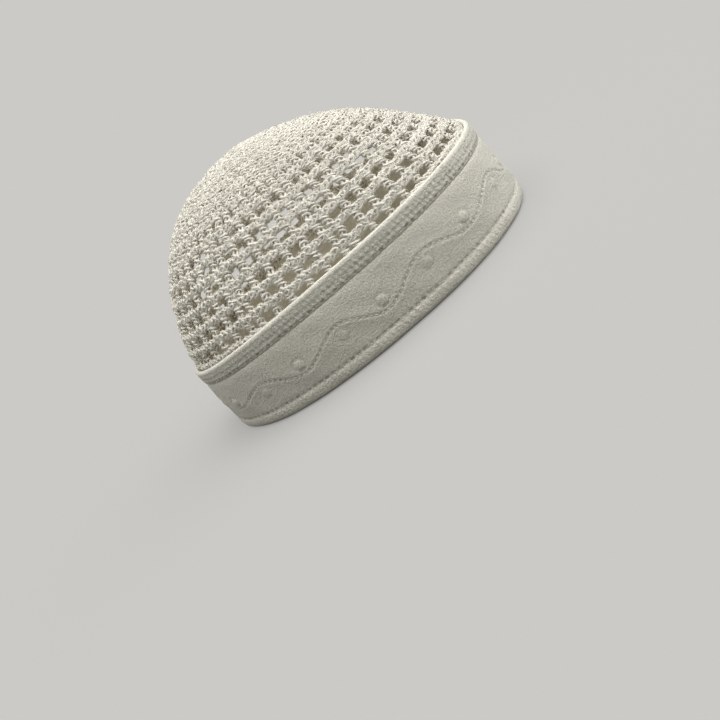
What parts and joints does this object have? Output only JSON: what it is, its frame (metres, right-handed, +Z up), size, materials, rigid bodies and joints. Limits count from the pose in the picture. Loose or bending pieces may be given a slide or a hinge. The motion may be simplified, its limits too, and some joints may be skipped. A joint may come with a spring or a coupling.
{
  "type": "crocheted skullcap with a quilted cloth band",
  "caption": "Soft dome-shaped cap with an open crocheted net crown, a dense middle and a quilted cloth band with a padded hem, resting on its rim.",
  "frame": {"origin": "on the surface that the cap rests on, under the middle of the cap's length and width", "axes": "+Z up out of the crown, -Y to the front of the cap, +X to the wearer's left"},
  "size_m": [0.1586, 0.1953, 0.1089],
  "materials": {
    "yarn": "off-white crochet yarn, softly shiny, plied and slightly fluffy",
    "band_cloth": "matt off-white knitted fleece, quilted with thread of its own colour"
  },
  "bodies": {
    "root": {"crochet_crown": "yarn", "band": "band_cloth", "top_binding": "band_cloth"}
  },
  "joints": []
}
